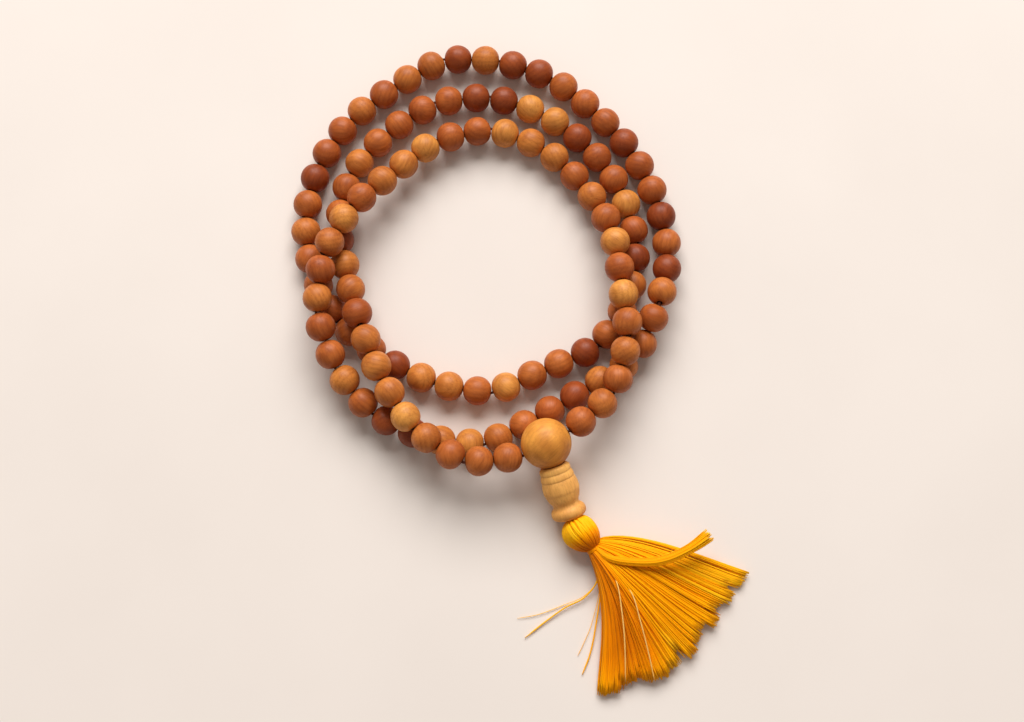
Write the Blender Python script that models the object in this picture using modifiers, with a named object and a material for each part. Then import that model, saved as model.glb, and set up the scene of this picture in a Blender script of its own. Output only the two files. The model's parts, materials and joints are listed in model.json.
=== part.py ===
"""A mala: 108 turned wooden beads on one cord, lying wound three times round, with a large guru
bead, a turned tower bead and a thread tassel where the cord's two ends leave the loop.

Metres, +Z up. The mala lies on the plane z = 0, and its box is centred on the origin. The beads come
in pairs that share one straight run of the cord, each pair turned as one piece about that run.
"""

import math

import bmesh
import bpy
import numpy as np
from mathutils import Matrix, Vector

MM = 0.001
WORLD_UP = Vector((0.0, 0.0, 1.0))

# The strand's beads: oblate, drilled along the cord, and strung at one pitch.
BEAD_RADIUS = 3.95 * MM
BEAD_HALF_LENGTH = 3.55 * MM
BEAD_PITCH = 7.65 * MM
BEAD_SIDES = 10
BEAD_ARC_POINTS = 5
PAIR_COUNT = 54
PAIR_LENGTH = 2.0 * BEAD_PITCH
BORE_RADIUS = 0.95 * MM
COLLAR_RADIUS = 1.4 * MM

CORD_RADIUS = 0.4 * MM
CORD_ENDS_RADIUS = 0.6 * MM

# The guru bead, at the place where the loop closes.
GURU_RADIUS = 6.5 * MM
GURU_BORE_RADIUS = 1.1 * MM
GURU_CENTRE = Vector((8.7, -23.5, 10.8)) * MM
STRAND_HEADING = math.radians(27.0)
STRAND_RISE = math.radians(10.0)
STRAND_MOUTH = 0.25 * MM
SEAT_GAP = 0.25 * MM

# The pendant: tower bead, tassel head and tassel skirt, sloping down from the guru bead.
PENDANT_HEADING = math.radians(-70.7)
PENDANT_DROP = math.radians(19.3)
TOWER_BORE_RADIUS = 0.95 * MM
TOWER_SIDES = 16
CORD_ENDS_START = 1.3 * MM
CORD_ENDS_STOP = 20.7 * MM
# Radius down the turned tower bead, against distance from the guru bead's centre.
TOWER_PROFILE = [
    (3.50, 6.2), (3.90, 6.6), (3.95, 7.5), (3.65, 7.9), (4.10, 8.3), (4.30, 9.3), (4.00, 9.7),
    (4.40, 10.1), (4.60, 11.5), (4.60, 12.9), (4.40, 13.2), (4.20, 14.5), (3.70, 16.0),
    (3.35, 17.0), (3.50, 17.5), (4.30, 18.0), (4.55, 18.6), (4.40, 19.3), (3.60, 20.0), (2.90, 20.4),
]

HEAD_CENTRE = Vector((18.4, -46.1, 4.4)) * MM
HEAD_HEADING = math.radians(-56.0)
HEAD_SIDES = 14
# Radius down the tassel's head, against distance from the head's centre.
HEAD_PROFILE = [
    (0.0, -4.10), (1.9, -3.85), (3.5, -2.60), (4.35, -0.60), (4.0, 1.20), (2.9, 2.80), (1.9, 3.85),
    (0.0, 4.35),
]

SKIRT_HEADING = math.radians(-48.0)
SKIRT_HINGE_REACH = 6.5 * MM
SKIRT_HINGE_HEIGHT = 4.2 * MM
SKIRT_FAN_START = 2.6 * MM
SKIRT_HALF_FAN = math.radians(37.5)
SKIRT_ARC_STEPS = 10
# The skirt's sections: distance from the fan's centre, height of the underside, height of the top.
SKIRT_SECTIONS = [
    (1.1, 3.65, 4.75), (1.6, 2.95, 5.45), (2.6, 2.6, 5.8), (5.0, 1.2, 6.4), (9.0, 0.0, 6.9),
    (14.0, 0.0, 6.8), (22.0, 0.0, 5.8), (30.0, 0.0, 4.4), (36.5, 0.0, 3.2), (38.0, 0.0, 1.6),
]
SKIRT_EDGE_THINNING = 0.35

# The strand's route from the guru bead three times round and back, chosen by hand, in millimetres:
# where the centre of every third bead lies.
ROUTE_STEP = 3
ROUTE = [
    (22.8, -10.4, 10.0), (29.0, 9.7, 11.6), (30.3, 38.6, 7.5), (17.3, 54.4, 4.6), (-8.6, 75.1, 4.1),
    (-29.9, 53.0, 6.2), (-48.6, 39.2, 11.1), (-57.8, 13.4, 11.5), (-44.0, -14.9, 6.6),
    (-22.4, -23.5, 4.0), (5.5, -18.9, 4.0), (15.8, -10.6, 4.0), (32.8, 5.9, 3.9), (37.2, 23.6, 4.0),
    (36.0, 42.5, 4.0), (25.8, 63.5, 4.0), (5.6, 78.5, 4.0), (-14.5, 80.7, 4.0), (-32.1, 74.4, 4.0),
    (-49.5, 57.7, 4.0), (-55.6, 34.0, 4.0), (-49.1, 15.5, 4.0), (-27.8, -2.9, 4.0),
    (-5.6, -6.6, 4.0), (10.9, -1.4, 4.0), (25.3, 8.9, 4.0), (34.2, 30.6, 3.9), (22.9, 57.5, 4.0),
    (4.3, 71.4, 4.0), (-17.8, 73.4, 4.0), (-36.3, 61.4, 4.0), (-50.6, 44.9, 3.9),
    (-44.2, 19.7, 8.1), (-37.3, -9.0, 11.5), (-15.4, -22.9, 10.9), (10.9, -37.9, 9.7),
]

# How the pairs are eased apart along the route.
SETTLE_ROUNDS = 1500
ROUTE_PULL = 0.04
WEIGHT_PULL = 0.06 * MM
BEAD_SPACING = 2.0 * BEAD_RADIUS + 0.1 * MM
BEND_SPACING = BEAD_PITCH - 0.3 * MM
GURU_SPACING = GURU_RADIUS + BEAD_RADIUS + 0.1 * MM
GURU_END_SPACING = GURU_RADIUS + BEAD_HALF_LENGTH + 0.15 * MM


def clear_scene():
    """Remove every object of the open file."""
    for thing in list(bpy.data.objects):
        bpy.data.objects.remove(thing, do_unlink=True)


def new_collection(name):
    """Make a collection under the scene."""
    made = bpy.data.collections.new(name)
    bpy.context.scene.collection.children.link(made)
    return made


def new_material(name, colour, roughness):
    """Make a plain Principled material."""
    made = bpy.data.materials.new(name)
    made.use_nodes = True
    shader = made.node_tree.nodes["Principled BSDF"]
    shader.inputs["Base Color"].default_value = (*colour, 1.0)
    shader.inputs["Roughness"].default_value = roughness
    shader.inputs["Metallic"].default_value = 0.0
    return made


def heading_vector(heading, rise=0.0):
    """A unit vector at a heading from +X in plan and a rise above the horizon."""
    level = math.cos(rise)
    return Vector((level * math.cos(heading), level * math.sin(heading), math.sin(rise)))


def placement(origin, along):
    """A frame at origin whose Z runs along a direction and whose X points as nearly up as it can."""
    z_axis = along.normalized()
    x_axis = (WORLD_UP - z_axis * z_axis.dot(WORLD_UP)).normalized()
    y_axis = z_axis.cross(x_axis)
    rotation = Matrix((x_axis, y_axis, z_axis)).transposed().to_4x4()
    return Matrix.Translation(origin) @ rotation


def new_object(name, data, collection, parent, matrix):
    """Link an object, place it in the mala's frame and hang it on the frame's empty."""
    made = bpy.data.objects.new(name, data)
    collection.objects.link(made)
    made.parent = parent
    made.matrix_basis = matrix
    return made


def add_turning(turned, sides):
    """Turn an object's profile about its own Z."""
    screw = turned.modifiers.new("turning", "SCREW")
    screw.axis = "Z"
    screw.angle = 2.0 * math.pi
    screw.steps = sides
    screw.render_steps = sides
    screw.use_merge_vertices = True
    screw.merge_threshold = 0.00001
    screw.use_smooth_shade = True


def profile_mesh(name, points, closed):
    """A mesh of edges through (radius, height) points, running down the profile's outer side."""
    mesh = bpy.data.meshes.new(name)
    edges = [(i, i + 1) for i in range(len(points) - 1)]
    if closed:
        edges.append((len(points) - 1, 0))
    mesh.from_pydata([(radius, 0.0, height) for radius, height in points], edges, [])
    return mesh


def smooth_along(wanted, places, points):
    """Points at the wanted places along a smooth curve that passes each given point at its place."""
    slopes = np.gradient(points, places, axis=0)
    k = np.clip(np.searchsorted(places, wanted, side="right") - 1, 0, len(places) - 2)
    span = (places[k + 1] - places[k])[:, None]
    t = (wanted - places[k])[:, None] / span
    return (
        (2.0 * t ** 3 - 3.0 * t ** 2 + 1.0) * points[k]
        + (t ** 3 - 2.0 * t ** 2 + t) * span * slopes[k]
        + (3.0 * t ** 2 - 2.0 * t ** 3) * points[k + 1]
        + (t ** 3 - t ** 2) * span * slopes[k + 1]
    )


def bead_centres(knots):
    """The centres of the two beads on each straight run between neighbouring knots."""
    start, stop = knots[:-1], knots[1:]
    beads = np.empty((2 * len(start), 3))
    beads[0::2] = 0.75 * start + 0.25 * stop
    beads[1::2] = 0.25 * start + 0.75 * stop
    return beads


def spread_to_knots(knots, moves):
    """Move the knots by what their beads were moved."""
    knots[:-1] += 0.75 * moves[0::2] + 0.25 * moves[1::2]
    knots[1:] += 0.25 * moves[0::2] + 0.75 * moves[1::2]


def bead_moves(beads, first, second, spacing):
    """How far each bead of the listed pairs has to move to stand off the other."""
    moves = np.zeros_like(beads)
    apart = beads[first] - beads[second]
    distance = np.linalg.norm(apart, axis=1)
    short = np.maximum(spacing - distance, 0.0)
    push = apart * (0.5 * short / np.maximum(distance, 1e-9))[:, None]
    np.add.at(moves, first, push)
    np.add.at(moves, second, -push)
    return moves


def stand_off(beads, centre, spacing):
    """How far each bead has to move to stand off one fixed centre."""
    apart = beads - centre
    distance = np.linalg.norm(apart, axis=1)
    return apart * (np.maximum(spacing - distance, 0.0) / distance)[:, None]


def even_runs(knots, freedom):
    """Bring every run between neighbouring knots to the length of a pair."""
    for parity in (0, 1):
        start = np.arange(parity, PAIR_COUNT, 2)
        stop = start + 1
        run = knots[stop] - knots[start]
        length = np.linalg.norm(run, axis=1)
        share = freedom[start] / (freedom[start] + freedom[stop])
        change = run * ((length - PAIR_LENGTH) / length)[:, None]
        knots[start] += change * share[:, None]
        knots[stop] -= change * (1.0 - share)[:, None]


def strand_knots():
    """The ends of the straight runs that carry the pairs, from one mouth of the guru bead's bore
    three times round to the other."""
    strand_axis = np.array(heading_vector(STRAND_HEADING, STRAND_RISE))
    guru = np.array(GURU_CENTRE)
    mouths = [guru + strand_axis * side * (GURU_RADIUS + STRAND_MOUTH) for side in (1.0, -1.0)]
    count = 2 * PAIR_COUNT
    places = np.array([0.5, *range(ROUTE_STEP, count + 1, ROUTE_STEP), count + 0.5])
    route = np.array([mouths[0], *(np.array(ROUTE) * MM), mouths[1]])
    target = smooth_along(np.arange(0.5, count + 1.0, 2.0), places, route)
    knots = target.copy()
    freedom = np.array([0.0, *[1.0] * (PAIR_COUNT - 1), 0.0])
    first, second = np.triu_indices(count, 2)
    near, far = np.arange(count - 1), np.arange(1, count)
    inner = slice(1, count - 1)
    for step in range(SETTLE_ROUNDS):
        fade = 1.0 - step / SETTLE_ROUNDS
        knots[:, :2] += (target - knots)[:, :2] * ROUTE_PULL * fade
        knots[:, 2] -= WEIGHT_PULL * fade
        beads = bead_centres(knots)
        moves = bead_moves(beads, first, second, BEAD_SPACING)
        moves += bead_moves(beads, near, far, BEND_SPACING)
        moves[inner] += stand_off(beads[inner], guru, GURU_SPACING)
        moves += stand_off(beads, guru, GURU_END_SPACING)
        moves[:, 2] += np.maximum(BEAD_RADIUS - beads[:, 2], 0.0)
        spread_to_knots(knots, moves)
        knots[0], knots[-1] = mouths
        for _ in range(4):
            even_runs(knots, freedom)
    return [Vector(knot) for knot in knots]


def bead_arc(centre, start_radius, stop_radius):
    """(radius, height) points down one bead's outside, from one end face to the other."""
    start = math.asin(start_radius / BEAD_RADIUS)
    stop = math.pi - math.asin(stop_radius / BEAD_RADIUS)
    angles = np.linspace(start, stop, BEAD_ARC_POINTS)
    middle = BEAD_ARC_POINTS // 2
    angles[middle] = 0.5 * math.pi
    return [
        (BEAD_RADIUS * math.sin(angle), centre + BEAD_HALF_LENGTH * math.cos(angle))
        for angle in angles
    ]


def bead_pair_mesh():
    """The profile of two drilled beads joined by a narrow collar round the bore."""
    upper = bead_arc(0.5 * BEAD_PITCH, BORE_RADIUS, COLLAR_RADIUS)
    lower = bead_arc(-0.5 * BEAD_PITCH, COLLAR_RADIUS, BORE_RADIUS)
    return profile_mesh("bead_pair", upper + lower, closed=True)


def make_bead_pairs(knots, collection, parent):
    """Turn and place every pair, each with its origin on the cord and its Z along it."""
    mesh = bead_pair_mesh()
    mesh.materials.append(new_material("bead_wood", (0.36, 0.13, 0.05), 0.38))
    for k in range(PAIR_COUNT):
        start, stop = knots[k], knots[k + 1]
        matrix = placement((start + stop) * 0.5, stop - start)
        pair = new_object(f"bead_pair_{k + 1:02d}", mesh, collection, parent, matrix)
        add_turning(pair, BEAD_SIDES)


def make_tube(name, points, radius, closed, collection, parent, material):
    """A cord as a round curve through points."""
    curve = bpy.data.curves.new(name, "CURVE")
    curve.dimensions = "3D"
    curve.bevel_depth = radius
    curve.bevel_resolution = 2
    curve.use_fill_caps = not closed
    spline = curve.splines.new("POLY")
    spline.points.add(len(points) - 1)
    for spot, point in zip(spline.points, points):
        spot.co = (*point, 1.0)
    spline.use_cyclic_u = closed
    curve.materials.append(material)
    return new_object(name, curve, collection, parent, Matrix.Identity(4))


def make_cutter(name, start, stop, radius, collection, parent):
    """A round cutter between two points."""
    mesh = bpy.data.meshes.new(name)
    shape = bmesh.new()
    bmesh.ops.create_cone(
        shape, cap_ends=True, segments=12, radius1=radius, radius2=radius, depth=(stop - start).length
    )
    shape.to_mesh(mesh)
    shape.free()
    cutter = new_object(name, mesh, collection, parent, placement((start + stop) * 0.5, stop - start))
    cutter.hide_render = True
    cutter.display_type = "WIRE"
    return cutter


def make_guru_bead(collection, cutters, parent):
    """The three-way guru bead: a bore for the strand, and one for the cord's two ends."""
    mesh = bpy.data.meshes.new("guru_bead")
    shape = bmesh.new()
    bmesh.ops.create_uvsphere(shape, u_segments=18, v_segments=12, radius=GURU_RADIUS)
    shape.to_mesh(mesh)
    shape.free()
    mesh.shade_smooth()
    mesh.materials.append(new_material("guru_wood", (0.55, 0.27, 0.09), 0.42))
    strand_axis = heading_vector(STRAND_HEADING, STRAND_RISE)
    pendant_axis = heading_vector(PENDANT_HEADING, -PENDANT_DROP)
    guru = new_object("guru_bead", mesh, collection, parent, placement(GURU_CENTRE, pendant_axis))
    reach = strand_axis * (1.5 * GURU_RADIUS)
    through = make_cutter(
        "guru_strand_bore", GURU_CENTRE - reach, GURU_CENTRE + reach, GURU_BORE_RADIUS, cutters, parent
    )
    third = make_cutter(
        "guru_pendant_bore", GURU_CENTRE, GURU_CENTRE + pendant_axis * (1.5 * GURU_RADIUS),
        GURU_BORE_RADIUS, cutters, parent,
    )
    for cutter in (through, third):
        cut = guru.modifiers.new(cutter.name, "BOOLEAN")
        cut.operation = "DIFFERENCE"
        cut.solver = "EXACT"
        cut.object = cutter
    return guru


def make_tower_bead(collection, parent):
    """The turned tower bead, whose top is dished to seat on the guru bead."""
    pendant_axis = heading_vector(PENDANT_HEADING, -PENDANT_DROP)
    seat = GURU_RADIUS + SEAT_GAP
    outside = [(radius * MM, -reach * MM) for radius, reach in TOWER_PROFILE]
    seat_start = (TOWER_BORE_RADIUS, -math.sqrt(seat ** 2 - TOWER_BORE_RADIUS ** 2))
    seat_middle_radius = 0.65 * outside[0][0]
    seat_middle = (seat_middle_radius, -math.sqrt(seat ** 2 - seat_middle_radius ** 2))
    bore_end = (TOWER_BORE_RADIUS, outside[-1][1])
    mesh = profile_mesh("tower_bead", [seat_start, seat_middle, *outside, bore_end], closed=True)
    mesh.materials.append(new_material("tower_wood", (0.68, 0.40, 0.16), 0.45))
    tower = new_object("tower_bead", mesh, collection, parent, placement(GURU_CENTRE, -pendant_axis))
    add_turning(tower, TOWER_SIDES)
    return tower


def make_tassel_head(collection, parent, thread):
    """The ball of looped thread above the tassel's neck, a closed turned solid."""
    mesh = profile_mesh("tassel_head", [(radius * MM, -reach * MM) for radius, reach in HEAD_PROFILE], False)
    mesh.materials.append(thread)
    head = new_object(
        "tassel_head", mesh, collection, parent, placement(HEAD_CENTRE, -heading_vector(HEAD_HEADING))
    )
    add_turning(head, HEAD_SIDES)
    return head


def skirt_section(reach, underside, top):
    """One closed section of the skirt: over the top from edge to edge and back underneath."""
    middle = 0.5 * (underside + top) if underside > 0.0 else underside
    over, under = [], []
    for step in range(SKIRT_ARC_STEPS + 1):
        share = 2.0 * step / SKIRT_ARC_STEPS - 1.0
        angle = share * SKIRT_HALF_FAN
        x = reach * MM * math.cos(angle) - SKIRT_FAN_START
        y = reach * MM * math.sin(angle)
        thinning = 1.0 - SKIRT_EDGE_THINNING * share ** 2
        over.append((x, y, (middle + (top - middle) * thinning) * MM - SKIRT_HINGE_HEIGHT))
        under.append((x, y, (middle + (underside - middle) * thinning) * MM - SKIRT_HINGE_HEIGHT))
    return over + under[::-1]


def make_tassel_skirt(collection, parent, thread):
    """The fan of loose thread as one plain closed loft, flat where it lies on the table."""
    shape = bmesh.new()
    rings = [[shape.verts.new(p) for p in skirt_section(*section)] for section in SKIRT_SECTIONS]
    for ring, following in zip(rings, rings[1:]):
        for k in range(len(ring)):
            n = (k + 1) % len(ring)
            shape.faces.new((ring[k], ring[n], following[n], following[k]))
    shape.faces.new(rings[0])
    shape.faces.new(rings[-1])
    bmesh.ops.recalc_face_normals(shape, faces=shape.faces)
    mesh = bpy.data.meshes.new("tassel_skirt")
    shape.to_mesh(mesh)
    shape.free()
    mesh.materials.append(thread)
    heading = heading_vector(HEAD_HEADING) * SKIRT_HINGE_REACH
    hinge = Vector((HEAD_CENTRE.x + heading.x, HEAD_CENTRE.y + heading.y, SKIRT_HINGE_HEIGHT))
    matrix = Matrix.Translation(hinge) @ Matrix.Rotation(SKIRT_HEADING, 4, "Z")
    return new_object("tassel_skirt", mesh, collection, parent, matrix)


def centre_on_origin(collection, frame):
    """Shift the whole mala in plan so that its box is centred on the origin."""
    bpy.context.view_layer.update()
    graph = bpy.context.evaluated_depsgraph_get()
    corners = []
    for thing in collection.objects:
        if thing.type in {"MESH", "CURVE"}:
            solid = thing.evaluated_get(graph)
            mesh = solid.to_mesh()
            corners += [solid.matrix_world @ vertex.co for vertex in mesh.vertices]
            solid.to_mesh_clear()
    low = [min(corner[k] for corner in corners) for k in range(2)]
    high = [max(corner[k] for corner in corners) for k in range(2)]
    frame.location = (-0.5 * (low[0] + high[0]), -0.5 * (low[1] + high[1]), 0.0)
    bpy.context.view_layer.update()


def build():
    """Make the whole mala."""
    clear_scene()
    parts = new_collection("mala")
    cutters = new_collection("mala_cutters")
    frame = bpy.data.objects.new("mala_frame", None)
    parts.objects.link(frame)

    cord = new_material("cord", (0.30, 0.10, 0.05), 0.85)
    thread = new_material("tassel_thread", (1.0, 0.40, 0.01), 0.6)
    knots = strand_knots()
    make_tube("cord_loop", [GURU_CENTRE, *knots], CORD_RADIUS, True, parts, frame, cord)
    make_bead_pairs(knots, parts, frame)
    make_guru_bead(parts, cutters, frame)
    pendant_axis = heading_vector(PENDANT_HEADING, -PENDANT_DROP)
    ends = [GURU_CENTRE + pendant_axis * reach for reach in (CORD_ENDS_START, CORD_ENDS_STOP)]
    make_tube("cord_ends", ends, CORD_ENDS_RADIUS, False, parts, frame, cord)
    make_tower_bead(parts, frame)
    make_tassel_head(parts, frame, thread)
    make_tassel_skirt(parts, frame, thread)
    centre_on_origin(parts, frame)


build()
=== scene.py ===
"""The look of the mala: 108 turned beads on a plied cord, a guru bead, a tower bead and a tassel."""
import json
import math

import bmesh
import bpy
import numpy as np
from mathutils import Matrix, Vector


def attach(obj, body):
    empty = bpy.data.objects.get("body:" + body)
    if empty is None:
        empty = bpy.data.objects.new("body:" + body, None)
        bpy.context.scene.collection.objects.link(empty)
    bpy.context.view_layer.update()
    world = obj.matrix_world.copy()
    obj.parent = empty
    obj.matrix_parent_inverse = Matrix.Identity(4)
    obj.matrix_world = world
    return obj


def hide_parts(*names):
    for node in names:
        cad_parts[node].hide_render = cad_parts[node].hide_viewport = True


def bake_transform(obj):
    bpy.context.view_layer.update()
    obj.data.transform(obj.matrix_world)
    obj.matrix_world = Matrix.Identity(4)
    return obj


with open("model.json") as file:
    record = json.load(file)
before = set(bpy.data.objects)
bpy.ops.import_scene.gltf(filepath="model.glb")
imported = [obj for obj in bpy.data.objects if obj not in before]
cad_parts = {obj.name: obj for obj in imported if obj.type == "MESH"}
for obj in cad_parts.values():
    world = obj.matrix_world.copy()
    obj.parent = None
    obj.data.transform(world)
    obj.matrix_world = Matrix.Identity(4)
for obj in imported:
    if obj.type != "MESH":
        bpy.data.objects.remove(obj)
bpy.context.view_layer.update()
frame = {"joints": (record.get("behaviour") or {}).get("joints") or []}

MM = 0.001
UP = Vector((0.0, 0.0, 1.0))
JOINTS = {joint["name"]: joint for joint in frame["joints"]}
RANDOM = np.random.default_rng(108)

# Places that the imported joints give.
GURU = Vector(JOINTS["pendant_lift"]["pos_m"])
STRAND_AXIS = -Vector(JOINTS["pendant_lift"]["axis"])
PENDANT_AXIS = Vector(JOINTS["tower_spin"]["axis"])
HEAD = Vector(JOINTS["tassel_sweep"]["pos_m"])
HINGE = Vector(JOINTS["tassel_lift"]["pos_m"])
FAN_HEADING = math.radians(-48.0)
FAN_DIRECTION = Vector((math.cos(FAN_HEADING), math.sin(FAN_HEADING), 0.0))
NECK = HINGE - FAN_DIRECTION * 2.6 * MM
HEAD_AXIS = (Vector((HINGE.x, HINGE.y, 0.0)) - Vector((HEAD.x, HEAD.y, 0.0))).normalized()

# The camera looks down on the loop, tilted a little towards the tassel's side.
VIEW_TARGET = GURU - Vector((8.7, -23.5, 10.8)) * MM
VIEW_TILT = math.radians(11.0)
VIEW_DISTANCE = 0.377

# Beads.
BEAD_PITCH = 7.65 * MM
BEAD_RADIUS = 3.95 * MM
BEAD_END_RADIUS = 0.85 * MM
BEAD_BORE = 0.62 * MM
BEAD_ROUNDNESS = 0.9
BEAD_SIDES = 36
BEAD_RINGS = 15
LIGHT = {6, 8, 14, 17, 21, 32, 73, 82, 86, 87, 104}
LIGHTISH = {2, 4, 10, 12, 13, 18, 19, 22, 24, 27, 31, 33, 37, 38, 41, 53, 55, 56, 58, 63, 70, 71, 79,
            94, 98, 99, 101, 102, 103, 105}
DARK = {29, 30, 36, 42, 44, 47, 51, 52, 54, 61, 69, 76, 80, 85, 88, 89, 97}

# The cord.
CORD_DIAMETER = 0.8 * MM
CORD_CORNER = 0.8 * MM
CORD_PLIES = 3
CORD_TWIST = 2.4 * MM
CORD_STEP = 0.4 * MM


def place(axis, origin):
    """A frame at origin with Z along an axis and X as nearly up as it can be."""
    z_axis = axis.normalized()
    x_axis = (UP - z_axis * z_axis.dot(UP)).normalized()
    rotation = Matrix((x_axis, z_axis.cross(x_axis), z_axis)).transposed().to_4x4()
    return Matrix.Translation(origin) @ rotation


def new_mesh(name, vertices, faces, material, smooth=True):
    """Link a mesh object made of vertices and faces."""
    mesh = bpy.data.meshes.new(name)
    mesh.from_pydata([tuple(v) for v in vertices], [], [tuple(f) for f in faces])
    mesh.validate()
    if smooth:
        mesh.shade_smooth()
    made = bpy.data.objects.new(name, mesh)
    bpy.context.scene.collection.objects.link(made)
    mesh.materials.append(material)
    return made


def paint(thing, name, values, kind="FLOAT"):
    """Store one value or vector a vertex under a name that materials read."""
    attribute = thing.data.attributes.new(name, kind, "POINT")
    values = np.asarray(values, np.float32)
    attribute.data.foreach_set("value" if kind == "FLOAT" else "vector", values.ravel())


def rows_to_faces(rows, sides, closed_rows=False):
    """Quads between rows of vertices that each run once round."""
    faces = []
    for row in range(rows if closed_rows else rows - 1):
        here = row * sides
        there = ((row + 1) % rows) * sides
        for k in range(sides):
            n = (k + 1) % sides
            faces.append((here + k, here + n, there + n, there + k))
    return faces


def lathe(profile, sides):
    """Vertices and faces of a closed (radius, height) section turned about Z."""
    turn = np.linspace(0.0, 2.0 * math.pi, sides, endpoint=False)
    vertices = [(r * math.cos(a), r * math.sin(a), z) for r, z in profile for a in turn]
    return vertices, rows_to_faces(len(profile), sides, closed_rows=True)


# ---------------------------------------------------------------- materials


class Shading:
    """A material's node tree with short calls for what this scene uses."""

    def __init__(self, name, roughness, **sockets):
        self.material = bpy.data.materials.new(name)
        self.material.use_nodes = True
        self.nodes = self.material.node_tree.nodes
        self.links = self.material.node_tree.links
        self.shader = self.nodes["Principled BSDF"]
        self.shader.inputs["Roughness"].default_value = roughness
        for socket, value in sockets.items():
            self.shader.inputs[socket.replace("_", " ")].default_value = value

    def attribute(self, name, output="Fac"):
        node = self.nodes.new("ShaderNodeAttribute")
        node.attribute_name = name
        return node.outputs[output]

    def scaled(self, vector, scale):
        node = self.nodes.new("ShaderNodeMapping")
        node.inputs["Scale"].default_value = scale
        self.links.new(vector, node.inputs["Vector"])
        return node.outputs["Vector"]

    def noise(self, vector, scale, detail=3.0, distortion=0.0):
        node = self.nodes.new("ShaderNodeTexNoise")
        node.inputs["Scale"].default_value = scale
        node.inputs["Detail"].default_value = detail
        node.inputs["Distortion"].default_value = distortion
        self.links.new(vector, node.inputs["Vector"])
        return node.outputs["Fac"]

    def bands(self, vector, scale, distortion, direction="X"):
        node = self.nodes.new("ShaderNodeTexWave")
        node.bands_direction = direction
        node.inputs["Scale"].default_value = scale
        node.inputs["Distortion"].default_value = distortion
        node.inputs["Detail"].default_value = 2.0
        self.links.new(vector, node.inputs["Vector"])
        return node.outputs["Fac"]

    def ramp(self, factor, stops):
        node = self.nodes.new("ShaderNodeValToRGB")
        ramp = node.color_ramp
        while len(ramp.elements) < len(stops):
            ramp.elements.new(0.5)
        for element, (position, colour) in zip(ramp.elements, stops):
            element.position = position
            element.color = (*colour, 1.0) if len(colour) == 3 else colour
        self.links.new(factor, node.inputs["Fac"])
        return node.outputs["Color"]

    def mix(self, kind, factor, a, b):
        node = self.nodes.new("ShaderNodeMix")
        node.data_type = "RGBA"
        node.blend_type = kind
        for socket, value in ((0, factor), (6, a), (7, b)):
            if isinstance(value, bpy.types.NodeSocket):
                self.links.new(value, node.inputs[socket])
            elif isinstance(value, tuple):
                node.inputs[socket].default_value = (*value, 1.0)
            else:
                node.inputs[socket].default_value = value
        return node.outputs[2]

    def remap(self, factor, low, high, to_low, to_high):
        node = self.nodes.new("ShaderNodeMapRange")
        for name, value in (("From Min", low), ("From Max", high), ("To Min", to_low), ("To Max", to_high)):
            node.inputs[name].default_value = value
        self.links.new(factor, node.inputs["Value"])
        return node.outputs["Result"]

    def bump(self, height, strength, distance):
        node = self.nodes.new("ShaderNodeBump")
        node.inputs["Strength"].default_value = strength
        node.inputs["Distance"].default_value = distance
        self.links.new(height, node.inputs["Height"])
        self.links.new(node.outputs["Normal"], self.shader.inputs["Normal"])

    def feed(self, socket, output):
        self.links.new(output, self.shader.inputs[socket])


def wood_material(name, tones, roughness, streak, figure):
    """Turned wood: tone picks the piece's colour (on the guru bead it also holds painted light and shade), grain runs
    along the grain vector's Z.
    """
    shading = Shading(name, roughness, Specular_IOR_Level=0.24)
    tone = shading.attribute("tone")
    grain = shading.attribute("grain", "Vector")
    base = shading.ramp(tone, tones)
    # Broad figure: growth bands that bend across the piece.
    wide = shading.bands(shading.scaled(grain, (0.16, 0.10, 0.035)), 1.6, 3.5)
    figured = shading.mix("MULTIPLY", figure, base, shading.ramp(wide, [
        (0.0, (0.74, 0.64, 0.56)), (0.55, (1.0, 1.0, 1.0)), (1.0, (1.08, 1.12, 1.10))]))
    # Fine streaks along the grain.
    fine = shading.noise(shading.scaled(grain, (1.0, 1.0, 0.12)), 2.2, 4.0, 0.4)
    streaked = shading.mix("MULTIPLY", streak, figured, shading.ramp(fine, [
        (0.30, (0.62, 0.52, 0.46)), (0.52, (1.0, 1.0, 1.0)), (0.72, (1.16, 1.16, 1.10))]))
    # Short dark pores.
    pores = shading.noise(shading.scaled(grain, (1.0, 1.0, 0.22)), 6.5, 2.0)
    pored = shading.mix("MULTIPLY", 0.5, streaked, shading.ramp(pores, [
        (0.27, (0.35, 0.28, 0.25)), (0.36, (1.0, 1.0, 1.0))]))
    # Slow drifts of colour through the piece.
    cloud = shading.noise(grain, 0.22, 1.0)
    pored = shading.mix("MULTIPLY", 0.8, pored, shading.ramp(cloud, [
        (0.35, (0.80, 0.72, 0.68)), (0.65, (1.12, 1.16, 1.16))]))
    # Painted shade: darker, to nearly black, in the bores and round their mouths, and in the tower bead's grooves.
    mouth = shading.attribute("mouth")
    shading.feed("Base Color", shading.mix("MIX", mouth, pored, (0.035, 0.014, 0.008)))
    shading.feed("Roughness", shading.remap(fine, 0.3, 0.7, roughness + 0.10, roughness - 0.05))
    shading.bump(pores, 0.10, 0.00006)
    return shading.material


BEAD_WOOD = wood_material("bead_wood_look", [
    (0.0, (0.205, 0.036, 0.009)), (0.3, (0.325, 0.066, 0.014)), (0.5, (0.435, 0.108, 0.022)),
    (0.75, (0.550, 0.180, 0.034)), (1.0, (0.690, 0.285, 0.058))], 0.40, 0.45, 0.30)
GURU_WOOD = wood_material("guru_wood_look", [
    (0.0, (0.44, 0.125, 0.012)), (1.0, (0.76, 0.320, 0.055))], 0.42, 0.35, 0.22)
TOWER_WOOD = wood_material("tower_wood_look", [
    (0.0, (0.50, 0.165, 0.022)), (1.0, (1.0, 0.530, 0.140))], 0.50, 0.36, 0.18)


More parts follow.
